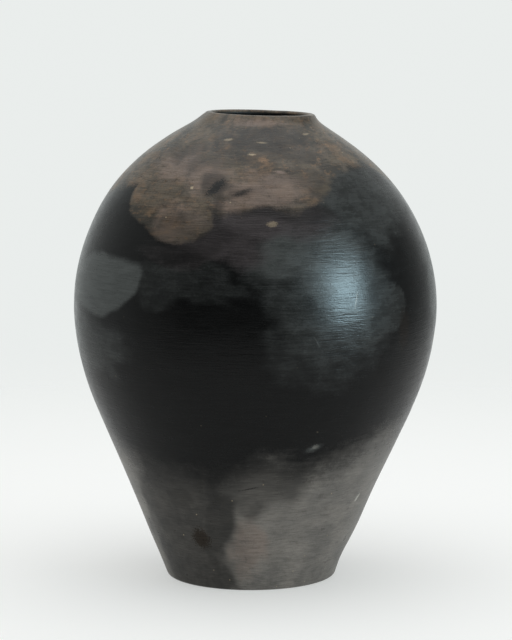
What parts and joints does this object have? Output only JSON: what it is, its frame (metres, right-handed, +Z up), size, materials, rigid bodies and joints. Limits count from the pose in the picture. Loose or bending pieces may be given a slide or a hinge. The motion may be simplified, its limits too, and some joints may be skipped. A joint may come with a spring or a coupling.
{
  "type": "burnished black clay pot",
  "caption": "Hand-built jar with a flat foot, a high round belly, a broad closed shoulder and a short collar with a rounded lip round its open mouth.",
  "frame": {"origin": "on the surface that the foot rests on, under the middle of the belly", "axes": "+Z up from the foot to the mouth, +X towards the side that the mouth drifts to, which is also the low side of the lip, -Y towards the face with the largest pale firing cloud"},
  "size_m": [0.3116, 0.3116, 0.401],
  "materials": {
    "burnished_clay": "smoke-fired black clay, stone-burnished to a soft sheen, clouded brown-grey on the shoulder and near the foot"
  },
  "bodies": {
    "root": {"pot_body": "burnished_clay"}
  },
  "joints": []
}
